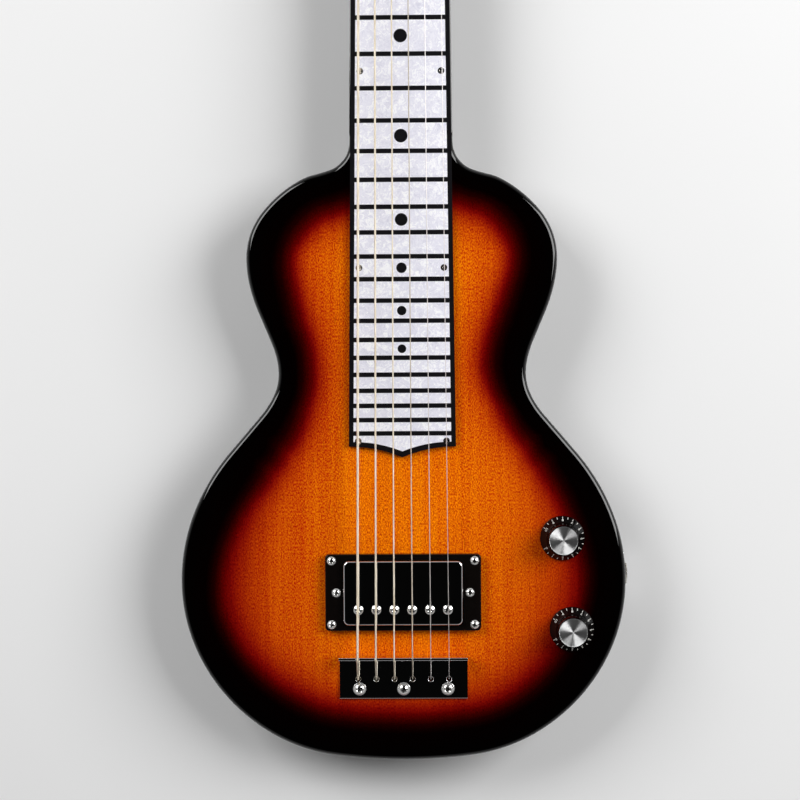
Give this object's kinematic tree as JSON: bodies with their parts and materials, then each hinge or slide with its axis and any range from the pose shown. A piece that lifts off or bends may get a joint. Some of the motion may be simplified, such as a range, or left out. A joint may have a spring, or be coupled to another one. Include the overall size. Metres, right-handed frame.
{
  "type": "lap steel guitar",
  "caption": "Solid-body lap steel guitar with sunburst top, pearl-cell fretboard, raised nut and bridge, covered pickup, dial knobs and open-gear tuners.",
  "frame": {"origin": "on the flat back face, on the centre line under the bridge line", "axes": "+X to the treble side, +Y along the strings to the head, +Z out of the back through the top"},
  "size_m": [0.2592, 0.7912, 0.0545],
  "materials": {
    "sunburst_wood": "gloss lacquer, amber to red to black",
    "head_black": "gloss",
    "bone": "polished",
    "board_black": "gloss",
    "pearl": "pearlescent gloss",
    "steel": "satin",
    "chrome": "mirror",
    "nickel": "polished nickel",
    "black_plastic": "satin gloss",
    "knob_black": "clear gloss over black",
    "spun_metal": "spun",
    "copper": "enamelled wire",
    "magnet": "ground",
    "rubber": "matt",
    "brass": "machined",
    "ceramic": "matt",
    "wire_cover": "satin",
    "string_wound": "wound nickel",
    "string_plain": "bright steel",
    "button_plastic": "cream gloss"
  },
  "bodies": {
    "root": {"body_neck": "sunburst_wood", "head_veneer": "head_black", "nut": "bone", "fretboard": "board_black", "pearl_panels": "pearl", "fretboard_screws": "steel", "bridge_plate": "chrome", "bridge_screws": "chrome", "string_ferrules": "chrome", "pickup_ring": "black_plastic", "ring_screws": "chrome", "height_sleeves": "rubber", "pot_cases": "steel", "pot_nuts": "nickel", "tone_capacitor": "ceramic", "hookup_wires": "wire_cover", "jack_plate": "chrome", "jack_plate_screws": "chrome", "output_jack": "nickel", "jack_nut": "nickel", "control_cover": "black_plastic", "cover_screws": "steel", "tuner_plates": "nickel", "tuner_bushings": "nickel", "tuner_screws": "nickel", "string_1": "string_wound", "string_2": "string_wound", "string_3": "string_wound", "string_4": "string_wound", "string_5": "string_plain", "string_6": "string_plain"},
    "pickup": {"pickup_cover": "chrome", "pickup_baseplate": "nickel", "coil_bobbins": "black_plastic", "coil_windings": "copper", "bar_magnet": "magnet", "slug_poles": "steel", "keeper_bar": "steel", "pole_screws": "chrome"},
    "height_screw_bass": {"height_screw_bass": "chrome"},
    "height_screw_treble": {"height_screw_treble": "chrome"},
    "volume_control": {"volume_knob": "knob_black", "volume_knob_cap": "spun_metal", "volume_pot_shaft": "brass"},
    "tone_control": {"tone_knob": "knob_black", "tone_knob_cap": "spun_metal", "tone_pot_shaft": "brass"},
    "key_1": {"tuner_button_1": "button_plastic"},
    "post_1": {"tuner_post_1": "nickel"},
    "key_2": {"tuner_button_2": "button_plastic"},
    "post_2": {"tuner_post_2": "nickel"},
    "key_3": {"tuner_button_3": "button_plastic"},
    "post_3": {"tuner_post_3": "nickel"},
    "key_4": {"tuner_button_4": "button_plastic"},
    "post_4": {"tuner_post_4": "nickel"},
    "key_5": {"tuner_button_5": "button_plastic"},
    "post_5": {"tuner_post_5": "nickel"},
    "key_6": {"tuner_button_6": "button_plastic"},
    "post_6": {"tuner_post_6": "nickel"}
  },
  "joints": [
    {"name": "pickup_height", "type": "slide", "parent": "root", "child": "pickup", "axis": [0, 0, 1], "range_m": [-0.0015, 0.0015], "deforming": ["height_sleeves"]},
    {"name": "height_screw_bass_turn", "type": "hinge", "parent": "root", "child": "height_screw_bass", "pos_m": [-0.0386, 0.0382, 0.043], "axis": [0, 0, 1], "range_deg": [-1030, 1030]},
    {"name": "height_screw_treble_turn", "type": "hinge", "parent": "root", "child": "height_screw_treble", "pos_m": [0.0386, 0.0382, 0.043], "axis": [0, 0, 1], "range_deg": [-1030, 1030]},
    {"name": "volume_turn", "type": "hinge", "parent": "root", "child": "volume_control", "pos_m": [0.092, 0.0691, 0.045], "axis": [0, 0, 1], "range_deg": [-150, 150]},
    {"name": "tone_turn", "type": "hinge", "parent": "root", "child": "tone_control", "pos_m": [0.0974, 0.0163, 0.045], "axis": [0, 0, 1], "range_deg": [-150, 150]},
    {"name": "key_turn_1", "type": "hinge", "parent": "root", "child": "key_1", "pos_m": [-0.026, 0.61615, 0.0104], "axis": [-1, 0, 0], "continuous": true},
    {"name": "post_turn_1", "type": "hinge", "parent": "root", "child": "post_1", "pos_m": [-0.026, 0.624, 0.03], "axis": [0, 0, 1], "continuous": true},
    {"name": "key_turn_2", "type": "hinge", "parent": "root", "child": "key_2", "pos_m": [-0.026, 0.65315, 0.0104], "axis": [-1, 0, 0], "continuous": true},
    {"name": "post_turn_2", "type": "hinge", "parent": "root", "child": "post_2", "pos_m": [-0.026, 0.661, 0.03], "axis": [0, 0, 1], "continuous": true},
    {"name": "key_turn_3", "type": "hinge", "parent": "root", "child": "key_3", "pos_m": [-0.026, 0.69015, 0.0104], "axis": [-1, 0, 0], "continuous": true},
    {"name": "post_turn_3", "type": "hinge", "parent": "root", "child": "post_3", "pos_m": [-0.026, 0.698, 0.03], "axis": [0, 0, 1], "continuous": true},
    {"name": "key_turn_4", "type": "hinge", "parent": "root", "child": "key_4", "pos_m": [0.026, 0.69015, 0.0104], "axis": [1, 0, 0], "continuous": true},
    {"name": "post_turn_4", "type": "hinge", "parent": "root", "child": "post_4", "pos_m": [0.026, 0.698, 0.03], "axis": [0, 0, 1], "continuous": true},
    {"name": "key_turn_5", "type": "hinge", "parent": "root", "child": "key_5", "pos_m": [0.026, 0.65315, 0.0104], "axis": [1, 0, 0], "continuous": true},
    {"name": "post_turn_5", "type": "hinge", "parent": "root", "child": "post_5", "pos_m": [0.026, 0.661, 0.03], "axis": [0, 0, 1], "continuous": true},
    {"name": "key_turn_6", "type": "hinge", "parent": "root", "child": "key_6", "pos_m": [0.026, 0.61615, 0.0104], "axis": [1, 0, 0], "continuous": true},
    {"name": "post_turn_6", "type": "hinge", "parent": "root", "child": "post_6", "pos_m": [0.026, 0.624, 0.03], "axis": [0, 0, 1], "continuous": true}
  ],
  "couplings": [
    {"joint": "height_screw_bass_turn", "follows": "pickup_height", "rad_per_m": -11855},
    {"joint": "height_screw_treble_turn", "follows": "pickup_height", "rad_per_m": -11855},
    {"joint": "post_turn_1", "follows": "key_turn_1", "ratio": -0.071429},
    {"joint": "post_turn_2", "follows": "key_turn_2", "ratio": -0.071429},
    {"joint": "post_turn_3", "follows": "key_turn_3", "ratio": -0.071429},
    {"joint": "post_turn_4", "follows": "key_turn_4", "ratio": -0.071429},
    {"joint": "post_turn_5", "follows": "key_turn_5", "ratio": -0.071429},
    {"joint": "post_turn_6", "follows": "key_turn_6", "ratio": -0.071429}
  ]
}
